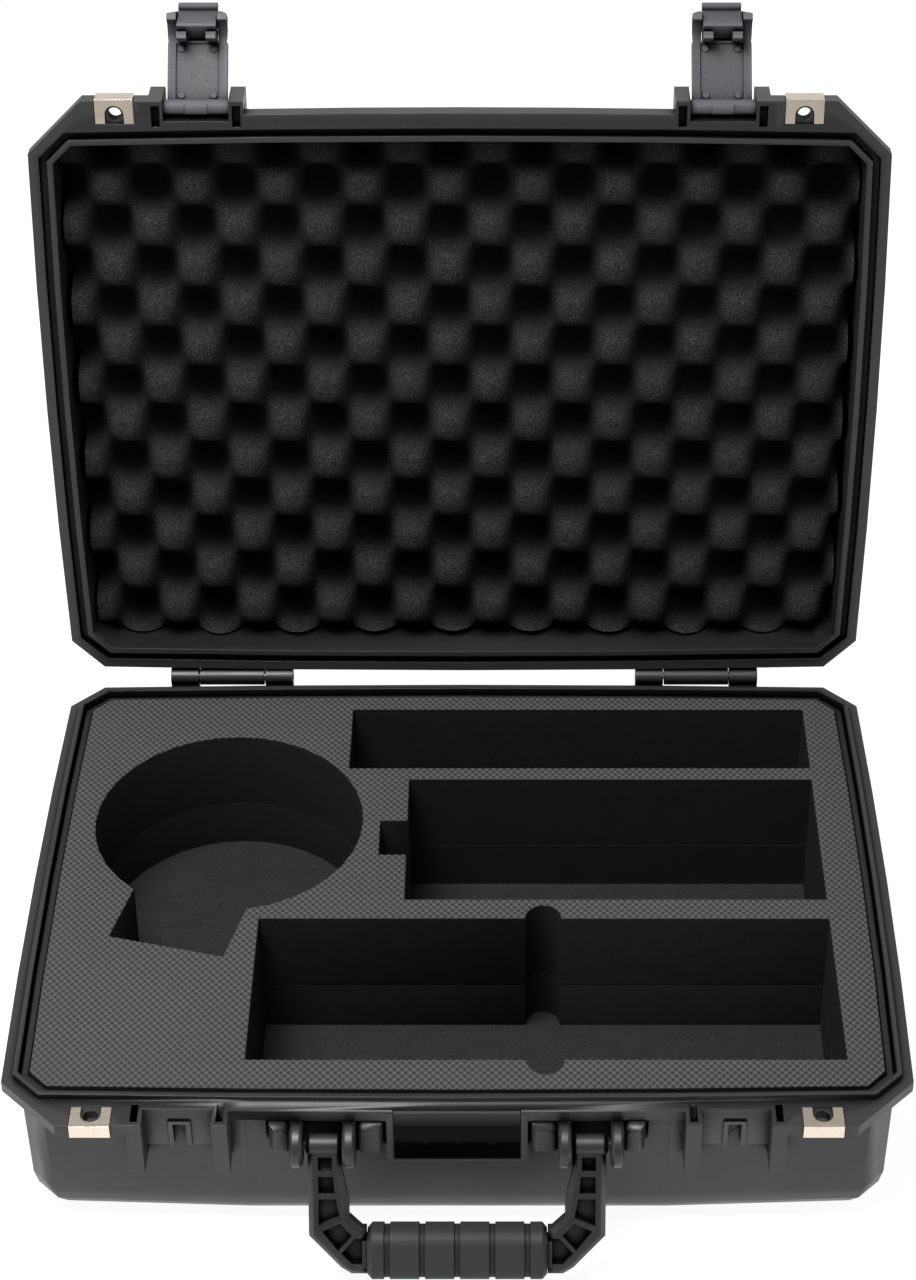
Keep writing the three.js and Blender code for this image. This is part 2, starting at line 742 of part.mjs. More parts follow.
function lidShell() {
  const rimTop = partingGap + lidFlangeThickness;
  const grooveTop = tongueHeight + gasketThickness + gasketPlay + gasketPlay;
  const rim = prism(rimPlan(lidSetBack), partingGap, rimTop);
  const groove = sealRing(grooveInset, lipInset, partingGap - overrun, grooveTop);
  const space = innerSpace(cavityInset, partingGap - overrun, lidDepth - wall, lidEdgeRadius - wall);
  const { ears, earSlots } = lidEars();
  return outerBody(partingGap + overrun, lidDepth, lidEdgeRadius)
    .add(joined([rim, ears, lidHinges(), lidField()]))
    .subtract(joined([groove, space, earSlots, clipSeats(partingGap, 1, lidFlangeThickness)]));
}

function lidGasket() {
  const from = tongueHeight + gasketPlay;
  return sealRing(grooveInset + gap, lipInset - gap, from, from + gasketThickness);
}

// Foam

// Slot for a stem that leaves the round pocket towards the front
function stemPlan() {
  const turn = radians(stemTurn);
  const along = [-Math.sin(turn), -Math.cos(turn)];
  const across = [Math.cos(turn), -Math.sin(turn)];
  const side = half(stemWidth);
  const at = (a, b) => [
    roundPocketX + along[0] * a + across[0] * b, roundPocketY + along[1] * a + across[1] * b,
  ];
  return [at(0, -side), at(stemReach, -side), at(stemReach, side), at(0, side)];
}

function rectangle(left, right, front, rear) {
  return [[left, front], [right, front], [right, rear], [left, rear]];
}

// A half-round finger space that bulges out of a pocket's wall
function bulge(y, way) {
  const points = [];
  for (let i = 0; i <= arcSteps + arcSteps; i++) {
    const angle = Math.PI * i / (arcSteps + arcSteps);
    points.push([bulgeX + half(bulgeWidth) * Math.cos(angle), y + way * bulgeDepth * Math.sin(angle)]);
  }
  points.push(
    [bulgeX - half(bulgeWidth), y - way * overrun], [bulgeX + half(bulgeWidth), y - way * overrun]);
  return way > 0 ? points : points.reverse();
}

function foamPockets(from, to) {
  const notch = rectangle(
    middlePocket.left - notchDepth, middlePocket.left + overrun, notchFront, notchRear);
  const plans = [
    stemPlan(),
    rectangle(rearPocket.left, pocketRight, rearPocket.front, rearPocket.rear),
    rectangle(middlePocket.left, pocketRight, middlePocket.front, middlePocket.rear),
    notch,
    rectangle(frontPocket.left, pocketRight, frontPocket.front, frontPocket.rear),
    bulge(frontPocket.rear, 1),
    bulge(frontPocket.front, -1),
  ];
  const round = post(roundPocketRadius, roundPocketX, roundPocketY, [from, to], fineSides);
  return joined([round, ...plans.map((plan) => prism(plan, from, to))]);
}

// The foam of the base between two heights, before its pockets are cut
function foamSlice(from, to) {
  const stack = innerSpace(
    cavityInset + foamPlay, foamTop, gap + wall - baseDepth, baseEdgeRadius - wall);
  const reach = rimWidth;
  return stack.intersect(block([-reach, reach], [-reach, reach], [from, to]));
}

function foamLayer(from, to) {
  return foamSlice(from, to).subtract(foamPockets(from - overrun, to + overrun));
}

// Height of the convoluted face over the rim
function convolution(x, y) {
  const turn = 2 * Math.PI / convolutionPitch;
  const wave = Math.cos((x - convolutionPhaseX) * turn) * Math.cos((y - convolutionPhaseY) * turn);
  return half(convolutionValley + convolutionPeak) - half(convolutionValley - convolutionPeak) * wave;
}

// Block of foam with the convoluted face down, cut to the inside of the lid
function lidFoam() {
  const step = convolutionPitch / stepsPerPitch;
  const [wide, deep] = [half(rimWidth), rimDepth];
  const first = [Math.floor((-wide - convolutionPhaseX) / step), Math.floor(-convolutionPhaseY / step)];
  const last = [Math.ceil((wide - convolutionPhaseX) / step), Math.ceil((deep - convolutionPhaseY) / step)];
  const [columns, rows] = [last[0] - first[0] + 1, last[1] - first[1] + 1];
  const top = lidDepth - wall + overrun;
  const vertices = [];
  for (const level of ['face', 'back']) {
    for (let j = 0; j < rows; j++) {
      for (let i = 0; i < columns; i++) {
        const x = convolutionPhaseX + (first[0] + i) * step;
        const y = convolutionPhaseY + (first[1] + j) * step;
        vertices.push(x, y, level === 'face' ? convolution(x, y) : top);
      }
    }
  }
  const at = (i, j, back) => i + j * columns + (back ? columns * rows : 0);
  const faces = [];
  const quad = (a, b, c, d) => faces.push(a, b, c, a, c, d);
  for (let j = 0; j + 1 < rows; j++) {
    for (let i = 0; i + 1 < columns; i++) {
      const square = [at(i, j), at(i, j + 1), at(i + 1, j + 1), at(i + 1, j)];
      if ((first[0] + i + first[1] + j) % 2) square.push(square.shift());
      quad(...square);
      quad(at(i, j, true), at(i + 1, j, true), at(i + 1, j + 1, true), at(i, j + 1, true));
    }
  }
  for (let i = 0; i + 1 < columns; i++) {
    quad(at(i, 0), at(i + 1, 0), at(i + 1, 0, true), at(i, 0, true));
    quad(at(i + 1, rows - 1), at(i, rows - 1), at(i, rows - 1, true), at(i + 1, rows - 1, true));
  }
  for (let j = 0; j + 1 < rows; j++) {
    quad(at(0, j + 1), at(0, j), at(0, j, true), at(0, j + 1, true));
    quad(at(columns - 1, j), at(columns - 1, j + 1), at(columns - 1, j + 1, true), at(columns - 1, j, true));
  }
  const geometry = new THREE.BufferGeometry();
  geometry.setAttribute('position', new THREE.Float32BufferAttribute(vertices, 3));
  geometry.setIndex(faces);
  const inset = lipInset + wall + sideDraft;
  const cutter = innerSpace(
    inset, partingGap, lidDepth - wall - gap, lidEdgeRadius - wall);
  return solid(geometry).intersect(cutter);
}

// Latch, as it hangs when shut: z runs up from the pivot, y runs in towards the case

function cheekOutline() {
  const points = [];
  for (let i = 0; i <= arcSteps; i++) {
    const angle = half(Math.PI) * i / arcSteps;
    points.push([
      cheekDepth * (1 - Math.cos(angle)) - plateInner,
      cheekTip + cheekSpan * (1 - Math.sin(angle)) - latchReach,
    ]);
  }
  const outer = -plateInner - plateThickness;
  return [
    ...points, [cheekDepth - plateInner, cheekEndRise - latchReach], [outer, -latchReach],
    [outer, cheekTip + cheekSpan - latchReach],
  ].reverse();
}

function latchBody() {
  const side = half(latchWidth);
  const outer = -plateInner - plateThickness;
  const body = profile([
    [-plateInner, overrun - latchReach + cheekSpan], [-plateInner, -barrelRadius], [0, -half(barrelRadius)],
    [0, barrelRadius - gap], [-plateInner, barrelRadius - overrun], [outer, -half(barrelRadius)],
    [outer, overrun - latchReach + cheekSpan],
  ], -side, side);
  const cheeks = profile(cheekOutline(), -side, side);
  const barrel = rod(barrelRadius, [-half(barrelLength), half(barrelLength)], 0, 0);
  const bumpEnds = [-half(barrelBumpWidth), half(barrelBumpWidth)];
  const bumpRadius = barrelRadius + barrelBumpHeight;
  const bump = rod(bumpRadius, bumpEnds, 0, 0)
    .intersect(block(bumpEnds, [0, bumpRadius + overrun], [-half(barrelBumpSpan), half(barrelBumpSpan)]))
    .rotate([barrelBumpTurn, 0, 0]);
  const panel = block(
    [-half(panelWidth), half(panelWidth)], [-plateInner - panelDepth, -plateInner + overrun],
    [-panelEnd, -panelStart]);
  const ejectors = [];
  for (const x of [-1, 1]) {
    for (const z of [-panelStart - ejectorInset, -panelEnd + ejectorInset]) {
      const geometry = new THREE.CylinderGeometry(
        ejectorRadius, ejectorRadius, panelDepth + ejectorHeight, half(roundSides));
      ejectors.push(solid(geometry.translate(
        x * (half(panelWidth) - ejectorInset), half(ejectorHeight) - plateInner - panelDepth, z)));
    }
  }
  const opening = block(
    [-half(triggerWidth) - triggerPlay, half(triggerWidth) + triggerPlay],
    [outer - overrun, cheekDepth - plateInner + overrun],
    [-latchReach - overrun, -openingReach]);
  const bevels = both(prism([
    [side + overrun, outer + cheekBevelDepth], [side, outer + cheekBevelDepth], [side - cheekBevel, outer],
    [side - cheekBevel, outer - overrun], [side + overrun, outer - overrun],
  ], -latchReach - overrun, cheekTip - latchReach + cheekSpan));
  const corners = both(frontPlate([
    [side, latchReach - cornerRun], [side + overrun, latchReach - cornerRun],
    [side + overrun, latchReach + overrun], [side - cornerWidth, latchReach + overrun],
    [side - cornerWidth, latchReach],
  ], outer - overrun, cheekDepth, 0));
  const pinHole = rod(latchPinRadius + gap, [-side - overrun - overrun, side + overrun + overrun], 0, 0);
  const triggerPinHole = rod(
    triggerPinRadius + gap, [-side - overrun, side + overrun], -plateInner - triggerPinInset,
    -triggerPinReach, half(roundSides));
  return joined([body, cheeks, barrel, bump])
    .subtract(joined([panel, opening, bevels, corners]))
    .add(joined(ejectors))
    .subtract(pinHole.add(triggerPinHole));
}

// Trigger, around its own pin: z runs up towards the latch pivot
function latchTrigger() {
  const side = half(triggerWidth);
  const zAt = (reach) => triggerPinReach - reach;
  const yAt = (depth) => depth + triggerPinInset;
  const lip = gap + overrun;
  const outline = [
    [yAt(-plateThickness + gap), zAt(triggerPinReach - triggerRise)],
    [yAt(-plateThickness + gap), zAt(tabReach - lip)],
    [yAt(-plateThickness + lip), zAt(tabReach)],
    [yAt(-lip), zAt(tabReach)],
    [yAt(lip), zAt(tabReach - lip)],
    [yAt(rollDepth), zAt(tabReach - lip - lip)],
    [yAt(rollDepth), zAt(tabReach - rollLength)],
    [yAt(lip), zAt(tabReach - rollLength - overrun)],
    [yAt(lipDepth - lip), zAt(lipReach + lip)],
    [yAt(lipDepth), zAt(lipReach)],
    [yAt(lipDepth), zAt(lipReach - lip)],
    [yAt(lipDepth - lip), zAt(lipReach - lip - lip)],
    [yAt(half(lipDepth)), zAt(lipReach - half(lipDepth) + overrun)],
    [yAt(overrun), zAt(triggerPinReach - triggerRise + overrun)],
  ];
  const body = profile(outline, -side, side);
  const arm = (x) => profile([
    [yAt(-overrun), zAt(triggerPinReach)],
    [yAt(half(lipDepth)), zAt(clawRoot)],
    [yAt(clawDepth), zAt(clawReach + clawThickness + half(clawThickness))],
    [yAt(clawDepth), zAt(clawReach)],
    [yAt(half(clawDepth)), zAt(clawReach)],
    [yAt(-overrun), zAt(openingReach + overrun)],
  ], Math.min(x * side, x * (side - clawWidth)), Math.max(x * side, x * (side - clawWidth)));
  const room = half(springLength()) + gap + gap;
  const springRoom = rod(springInner() + springWire + gap + gap, [-room, room], 0, 0, half(roundSides));
  const bore = rod(triggerPinRadius + gap, [-side - overrun, side + overrun], 0, 0, half(roundSides));
  return joined([body, arm(-1), arm(1)]).subtract(springRoom.add(bore));
}

const springInner = () => triggerPinRadius + gap;
const springLength = () => springTurns * springPitch + springWire;

// Least gap between the wire and itself, over points at least half a turn apart
function springGap(middles) {
  let least = Infinity;
  for (let i = 0; i < middles.length; i++) {
    for (let j = i + half(springStepsPerTurn); j < middles.length; j++) {
      least = Math.min(least, middles[i].distanceTo(middles[j]) - springWire);
    }
  }
  return least;
}

// Torsion spring round the trigger pin: one helical tube
function triggerSpring() {
  const steps = springStepsPerTurn * springTurns;
  const radius = springInner() + half(springWire);
  const middles = [];
  const vertices = [];
  for (let i = 0; i <= steps; i++) {
    const angle = 2 * Math.PI * springTurns * i / steps;
    const x = i / steps * springTurns * springPitch - half(springTurns * springPitch);
    middles.push(new THREE.Vector3(x, radius * Math.cos(angle), radius * Math.sin(angle)));
    for (let k = 0; k < springSides; k++) {
      const around = 2 * Math.PI * k / springSides;
      const reach = radius + half(springWire) * Math.cos(around);
      vertices.push(
        x + half(springWire) * Math.sin(around), reach * Math.cos(angle), reach * Math.sin(angle));
    }
  }
  console.log('least gap between the turns of a trigger spring:', springGap(middles).toFixed(2));
  const faces = [];
  for (let i = 0; i < steps; i++) {
    for (let k = 0; k < springSides; k++) {
      const [a, b] = [i * springSides + k, i * springSides + (k + 1) % springSides];
      faces.push(a, b + springSides, b, a, a + springSides, b + springSides);
    }
  }
  for (let k = 1; k + 1 < springSides; k++) {
    const end = steps * springSides;
    faces.push(0, k, k + 1, end, end + k + 1, end + k);
  }
  const geometry = new THREE.BufferGeometry();
  geometry.setAttribute('position', new THREE.Float32BufferAttribute(vertices, 3));
  geometry.setIndex(faces);
  return geometry;
}

// Handle, as it hangs: z runs up from the pins, y runs back

// Outline of one arm as [x, distance below the pins]
function armOutline() {
  const inner = eyeInner;
  return [
    [eyeOuter - overrun, 0], [eyeOuter - overrun, armStraight],
    [inner + overrun, armReach - half(armBevel) - half(armBevel) - overrun],
    [inner - armFootRun, armReach],
    [gripHalfLength + gap, armReach],
    [gripHalfLength + gap, armNeck],
    [gripHalfLength + armBevel, armNeck],
    [inner - armTaper, armElbow], [inner - armTaper, armTaperEnd], [inner, armTaperStart], [inner, 0],
  ];
}

// The hollows between the rungs of an arm
function armPockets() {
  const outer = eyeOuter - armRim;
  const inner = eyeInner + armInnerRim;
  const lean = armInnerLean;
  const rung = half(armRung);
  const thin = half(rung);
  return [
    [
      [outer, armStep - armPocketTop], [outer, armStep], [inner, armStep],
      [inner, armStep - armPocketTop],
    ],
    [
      [outer, armStep + armRung], [outer, 2 * armStep], [inner - lean, 2 * armStep],
      [inner - half(lean), armStep + armRung],
    ],
    [
      [outer, 2 * armStep + armRung], [outer, kneeRungOuter - rung],
      [inner - lean - lean - lean, kneeRungInner - rung],
      [inner - lean - half(lean), 2 * armStep + armRung],
    ],
    [
      [outer - rung, kneeRungOuter + rung], [bendRungOuterX + thin, bendRungOuter - thin],
      [bendRungInnerX + thin, bendRungInner - thin], [inner - lean - lean - lean, kneeRungInner + rung],
    ],
    [
      [bendRungOuterX - thin, bendRungOuter + thin], [bendRungInnerX + thin, armReach - armRim],
      [gripHalfLength + armBevel, armReach - armRim], [gripHalfLength + armBevel, bendRungInner + thin],
      [bendRungInnerX - thin, bendRungInner + thin],
    ],
  ];
}

// A plate over [x, distance below the pins] points, from one y to another, with cut edges
function frontPlate(points, from, to, bevel) {
  const shape = new THREE.Shape(points.map(([x, s]) => new THREE.Vector2(x, -s)));
  const geometry = new THREE.ExtrudeGeometry(shape, {
    depth: to - from - bevel - bevel,
    bevelEnabled: bevel > 0,
    bevelThickness: bevel,
    bevelSize: bevel,
    bevelOffset: -bevel,
    bevelSegments: 1,
  });
  return solid(geometry.rotateX(half(Math.PI)).translate(0, to - bevel, 0));
}

function handleFrame() {
  const thick = half(armThickness);
  const arm = frontPlate(armOutline(), -thick, thick, armBevel);
  const pockets = armPockets().map((points) => (
    frontPlate(points, -thick - overrun, armPocketDepth - thick, 0)));
  const eye = bevelledDisc(eyeRadius, [eyeInner, eyeOuter], 0, 0, eyeBevel);
  const bore = rod(handlePinRadius + gap, [eyeInner - overrun, eyeOuter + overrun], 0, 0);
  const core = block(
    [-gripHalfLength - armBevel, gripHalfLength + armBevel], [-half(coreThickness), half(coreThickness)],
    [-gripCentre - half(coreHeight), half(coreHeight) - gripCentre]);
  const side = arm.subtract(joined(pockets)).add(eye).subtract(bore);
  return both(side).add(core);
}

// Rounded section of the grip, moved in by an inset
function gripSection(inset) {
  const points = [];
  const [y, z] = [half(gripThickness) - gripCorner, half(gripHeight) - gripCorner];
  const radius = gripCorner - inset;
  for (const [quarter, [sy, sz]] of [[1, 1], [-1, 1], [-1, -1], [1, -1]].entries()) {
    for (let i = 0; i < arcSteps; i++) {
      const angle = half(Math.PI) * (quarter + i / (arcSteps - 1));
      points.push([sy * y + radius * Math.cos(angle), sz * z + radius * Math.sin(angle)]);
    }
  }
  return points;
}

function handleGrip() {
  const stations = [[-gripHalfLength, gripTaper], [gripTaperLength - gripHalfLength, 0]];
  for (let i = 0; i < gripGrooveCount; i++) {
    const x = (i - half(gripGrooveCount - 1)) * gripPitch;
    const [near, far] = [x - half(gripGroove), x + half(gripGroove)];
    stations.push([near, 0], [near, gripGrooveDepth], [far, gripGrooveDepth], [far, 0]);
  }
  stations.push([gripHalfLength - gripTaperLength, 0], [gripHalfLength, gripTaper]);
  const rings = stations.map(([x, inset]) => gripSection(inset).map(([y, z]) => [y, z, x]));
  const turn = new THREE.Matrix4().makeBasis(
    new THREE.Vector3(0, 1, 0), new THREE.Vector3(0, 0, 1), new THREE.Vector3(1, 0, 0));
  const sleeve = loft(rings).transform(turn.elements);
  const bore = block(
    [-gripHalfLength - overrun, gripHalfLength + overrun],
    [-half(coreThickness) - gap, half(coreThickness) + gap],
    [-half(coreHeight) - gap, half(coreHeight) + gap]);
  return sleeve.subtract(bore).translate(0, 0, -gripCentre);
}

// Materials

const charcoal = { color: 0x2b2b2d, roughness: 0.55, metalness: 0 };
const latchGrey = { color: 0x3a3b40, roughness: 0.5, metalness: 0 };
const steel = { color: 0xb9b2a8, roughness: 0.3, metalness: 1 };
const foamGrey = { color: 0x3c3c3e, roughness: 0.95, metalness: 0 };
const foamBlack = { color: 0x1d1d1f, roughness: 0.98, metalness: 0 };
const rubberBlack = { color: 0x111112, roughness: 0.7, metalness: 0 };
const glossBlack = { color: 0x060607, roughness: 0.12, metalness: 0 };

function piece(name, body, look) {
  const geometry = body.isBufferGeometry ? body : geometryOf(body);
  const mesh = new THREE.Mesh(geometry, new THREE.MeshStandardMaterial({ ...look, flatShading: true }));
  mesh.name = name;
  return mesh;
}

function rodPiece(name, radius, length, look) {
  const geometry = new THREE.CylinderGeometry(radius, radius, length, half(roundSides));
  return piece(name, geometry.rotateZ(half(Math.PI)), look);
}

// Assembly

const sides = [['left', -1], ['right', 1]];

const flightCase = new THREE.Group();
const body = new THREE.Group();
body.position.set(0, -originSetBack, baseDepth);
flightCase.add(body);

body.add(piece('base_shell', baseShell(), charcoal));
body.add(piece('base_foam_top', foamLayer(half(gap) - foamSeam, foamTop + overrun), foamGrey));
body.add(piece('base_foam_lower', foamLayer(half(gap) - foamFloor, -foamSeam - half(gap)), foamBlack));
body.add(piece('base_foam_floor', foamSlice(-baseDepth, -foamFloor - half(gap)), foamBlack));

const plate = piece('name_plate', block(
  [-plateHalfWidth, plateHalfWidth], [0, plateSheet], [-plateFoot, -plateTop]), glossBlack);
plate.position.y = plateFront;
body.add(plate);

for (const [side, way] of sides) {
  const clip = piece(`padlock_clip_base_${side}`, padlockClip(flangeThickness), steel);
  clip.position.x = way * clipX;
  body.add(clip);
  const pinLength = hingePinSpan(-gap)[1] - hingePinSpan(-gap)[0];
  const hingePin = rodPiece(`hinge_pin_${side}`, hingePinRadius, pinLength, steel);
  hingePin.position.set(way * hingeX, hingeY, hingeZ);
  body.add(hingePin);
  const [from, to] = handlePinSpan(0);
  const handlePin = rodPiece(`handle_pin_${side}`, handlePinRadius, to - from, steel);
  handlePin.position.set(way * half(from + to), handlePivotY, handlePivotZ);
  body.add(handlePin);
}

// The lid turns about the hinge pins
const lid = new THREE.Group();
lid.position.set(0, hingeY, hingeZ);
lid.rotation.x = -radians(lidOpenAngle);
body.add(lid);
const lidParts = new THREE.Group();
lidParts.position.set(0, -hingeY, -hingeZ);
lid.add(lidParts);
lidParts.add(piece('lid_shell', lidShell(), charcoal));
lidParts.add(piece('lid_gasket', lidGasket(), rubberBlack));
lidParts.add(piece('lid_foam', lidFoam(), foamBlack));

for (const [side, way] of sides) {
  const clip = piece(`padlock_clip_lid_${side}`, padlockClip(lidFlangeThickness), steel);
  clip.rotation.y = Math.PI;
  clip.position.set(way * clipX, 0, partingGap);
  lidParts.add(clip);

  const pin = rodPiece(
    `latch_pin_${side}`, latchPinRadius, 2 * (earInnerReach + earWidth) - gap - gap, steel);
  pin.position.set(way * latchX, latchPivotY, latchPivotZ);
  lidParts.add(pin);

  // The latch turns about its pin, and its trigger about a pin of its own
  const latch = new THREE.Group();
  latch.position.set(way * latchX, latchPivotY, latchPivotZ);
  latch.rotation.x = -radians(latchOpenAngle);
  lidParts.add(latch);
  latch.add(piece(`latch_${side}`, latchBody(), latchGrey));
  const tail = new THREE.Group();
  tail.position.set(0, -plateInner - triggerPinInset, -triggerPinReach);
  latch.add(tail);
  tail.add(rodPiece(`trigger_pin_${side}`, triggerPinRadius, latchWidth - gap, steel));
  tail.add(piece(`trigger_spring_${side}`, triggerSpring(), steel));
  tail.add(piece(`latch_trigger_${side}`, latchTrigger(), latchGrey));
}

// The handle swings on its two pins
const handle = new THREE.Group();
handle.position.set(0, handlePivotY, handlePivotZ);
handle.rotation.x = -radians(handleSwing);
body.add(handle);
handle.add(piece('handle_frame', handleFrame(), charcoal));
handle.add(piece('handle_grip', handleGrip(), rubberBlack));

export default flightCase;
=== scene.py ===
"""Looks of an open flight case: finished surfaces, cut and convoluted foam, floor, light and camera."""

import json
import math

import bmesh
import bpy
from bpy.props import FloatProperty, FloatVectorProperty, IntProperty, PointerProperty
from mathutils import Matrix, Vector


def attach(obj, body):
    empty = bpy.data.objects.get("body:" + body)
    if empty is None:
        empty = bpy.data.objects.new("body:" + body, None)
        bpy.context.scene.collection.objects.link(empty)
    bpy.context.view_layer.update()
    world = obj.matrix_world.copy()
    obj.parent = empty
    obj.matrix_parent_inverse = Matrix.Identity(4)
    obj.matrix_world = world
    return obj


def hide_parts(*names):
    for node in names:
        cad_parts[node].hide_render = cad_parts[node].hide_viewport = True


bl_info = {
    "name": "Flight Case",
    "version": (1, 0, 0),
    "blender": (4, 5, 0),
    "location": "3D View > Sidebar > Flight Case",
    "description": "Dresses the flight case with its finishes, foams, light and camera",
    "category": "Object",
}

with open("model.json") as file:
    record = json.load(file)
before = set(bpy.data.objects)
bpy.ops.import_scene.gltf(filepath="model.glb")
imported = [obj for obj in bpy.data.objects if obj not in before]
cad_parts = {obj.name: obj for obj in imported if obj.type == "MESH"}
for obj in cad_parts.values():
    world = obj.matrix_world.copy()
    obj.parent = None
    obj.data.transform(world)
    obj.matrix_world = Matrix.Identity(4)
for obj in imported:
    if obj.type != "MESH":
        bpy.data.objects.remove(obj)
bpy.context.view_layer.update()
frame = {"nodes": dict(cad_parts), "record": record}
RECORD = frame["record"]
BODY_OF = {node: body for body, nodes in RECORD["behaviour"]["bodies"].items() for node in nodes}
LID_JOINT = next(j for j in RECORD["behaviour"]["joints"] if j["child"] == "lid")

# Meshes: lengths in metres, angles in degrees
SAME_PLACE = 1e-5        # vertices this near are one
FLAT_ANGLE = 0.05        # faces that meet flatter than this are one
FOLD_ANGLE = 30.0        # edges sharper than this stay sharp
SOFT_FOLD_ANGLE = 40.0   # the same on the insert's foam and the grip
ROUND_FOLD_ANGLE = 60.0  # the same on the waved foam and the springs
UPRIGHT = 0.5            # faces whose normal rises less than this are walls
LEVEL = 0.99             # faces whose normal rises more than this are level
CUT_TOLERANCE = 1e-6

# The foam in the lid, lid shut
PARTING_HEIGHT = 0.099   # where the rims of base and lid meet
CASE_DEPTH_MIDDLE = 0.2  # from the front of the rim to the origin
SIDE_BOW = 0.0023        # how far the foam's sides bow out
END_BOW = 0.0027         # the same at its front and rear
WAVE_PHASE_X = -0.0075
WAVE_PHASE_Y = 0.0624    # counted from the front of the rim

# The stage
FLOOR_REACH = 6.0
FLOOR_LIT_MIDDLE = 0.5   # behind the case
PAINTED_SHADE_REACH = 0.012        # slots narrower than this get painted shade
LIGHTS = (
    # name, place, target, size and the property that holds the power
    ("key", (-0.4, -0.35, 1.75), (0.0, 0.02, 0.1), (0.9, 0.7), "key"),
    ("left", (-1.7, -0.3, 0.9), (0.0, 0.0, 0.2), (0.5, 1.6), "side"),
    ("right", (1.7, -0.3, 0.9), (0.0, 0.0, 0.2), (0.5, 1.6), "side"),
)
SKY_LEAN = (0.0, -0.65, 0.75)  # from the wall behind to the room in front
CAMERA_PLACE = (0.02556, -1.3345, 1.2781)
CAMERA_FALL = 36.88            # degrees below the horizon


class ShellLooks(bpy.types.PropertyGroup):
    """Finish of the moulded shells"""

    colour: FloatVectorProperty(
        name="Shell Colour", description="Colour of the moulded shells and the handle's frame",
        subtype="COLOR", size=3, min=0, max=1, default=(0.0114, 0.0108, 0.0106))
    roughness: FloatProperty(
        name="Roughness", description="Roughness of the shells", min=0, max=1, default=0.4)
    edge: FloatProperty(
        name="Edge Radius", description="Rounding of the moulded edges", unit="LENGTH", min=0,
        default=0.0006)


class FoamLooks(bpy.types.PropertyGroup):
    """Sizes and colours of the foams"""

    top_colour: FloatVectorProperty(
        name="Insert Colour", description="Colour of the embossed top of the insert",
        subtype="COLOR", size=3, min=0, max=1, default=(0.0606, 0.0594, 0.059))
    cut_colour: FloatVectorProperty(
        name="Cut Colour", description="Colour of the cut walls of the pockets",
        subtype="COLOR", size=3, min=0, max=1, default=(0.0098, 0.0096, 0.0096))
    floor_colour: FloatVectorProperty(
        name="Pad Colour", description="Colour of the pad under the pockets",
        subtype="COLOR", size=3, min=0, max=1, default=(0.0183, 0.0181, 0.0182))
    lid_colour: FloatVectorProperty(
        name="Lid Foam Colour", description="Colour of the convoluted foam on its peaks",
        subtype="COLOR", size=3, min=0, max=1, default=(0.0165, 0.016, 0.0165))
    emboss_width: FloatProperty(
        name="Emboss Width", description="Distance between two bumps of the embossed top",
        unit="LENGTH", min=0.0005, default=0.0043)
    emboss_row: FloatProperty(
        name="Emboss Row", description="Distance between two rows of the embossed top",
        unit="LENGTH", min=0.0005, default=0.0026)
    rim: FloatProperty(
        name="Rim Radius", description="Rounding where a pocket meets the top", unit="LENGTH",
        min=0, default=0.0011)
    pitch: FloatProperty(
        name="Wave Pitch", description="Distance between two peaks across the convoluted foam",
        unit="LENGTH", min=0.01, default=0.05)
    rows_pitch: FloatProperty(
        name="Rows Pitch", description="Distance between two peaks from the hinges to the latches",
        unit="LENGTH", min=0.01, default=0.053)
    peak: FloatProperty(
        name="Peak Height", description="Height of the peaks over the rim, lid shut",
        unit="LENGTH", default=0.014)
    valley: FloatProperty(
        name="Valley Height", description="Height of the valleys over the rim, lid shut",
        unit="LENGTH", default=0.035)
    steepness: FloatProperty(
        name="Steepness", description="How steep the sides of the convoluted foam are", min=0.1,
        default=1.7)
    narrowness: FloatProperty(
        name="Narrowness", description="How much narrower the peaks are than the valleys", min=-0.6,
        max=0.6, default=0.0)
    steps: IntProperty(
        name="Steps", description="Faces along one pitch of the convoluted foam", min=4, max=40,
        default=20)


class LatchLooks(bpy.types.PropertyGroup):
    """Finish of latches, grip and metal"""

    colour: FloatVectorProperty(
        name="Latch Colour", description="Colour of latches and triggers", subtype="COLOR", size=3,
        min=0, max=1, default=(0.043, 0.0435, 0.048))
    grip_colour: FloatVectorProperty(
        name="Grip Colour", description="Colour of the grip's sleeve", subtype="COLOR", size=3,
        min=0, max=1, default=(0.0238, 0.0231, 0.0233))
    clip_colour: FloatVectorProperty(
        name="Clip Colour", description="Colour of the padlock clips", subtype="COLOR", size=3,
        min=0, max=1, default=(0.78, 0.68, 0.58))


class StageLooks(bpy.types.PropertyGroup):
    """Floor, light and camera"""

    floor_colour: FloatVectorProperty(
        name="Floor Colour", description="Colour that the floor gives back to the lights",
        subtype="COLOR", size=3, min=0, max=1, default=(0.2, 0.2, 0.2))
    floor_glow: FloatProperty(
        name="Floor Glow", description="Light that comes through the floor from below", min=0,
        default=0.94)
    lit_reach: FloatProperty(
        name="Lit Reach", description="The floor is fully lit this far around its middle",
        unit="LENGTH", min=0, default=0.95)
    dark_reach: FloatProperty(
        name="Dark Reach", description="The floor is darkest from here on", unit="LENGTH", min=0,
        default=1.6)
    back_wall: FloatProperty(
        name="Back Strength", description="Strength of the light from the white wall behind", min=0,
        default=0.95)
    room: FloatProperty(
        name="Room Strength", description="Strength of the light from the front and above", min=0,
        default=0.13)
    key: FloatProperty(
        name="Key Power", description="Power of the large light over the front", subtype="POWER",
        min=0, default=46)
    side: FloatProperty(
        name="Side Power", description="Power of each light at the sides", subtype="POWER", min=0,
        default=2)


# Materials


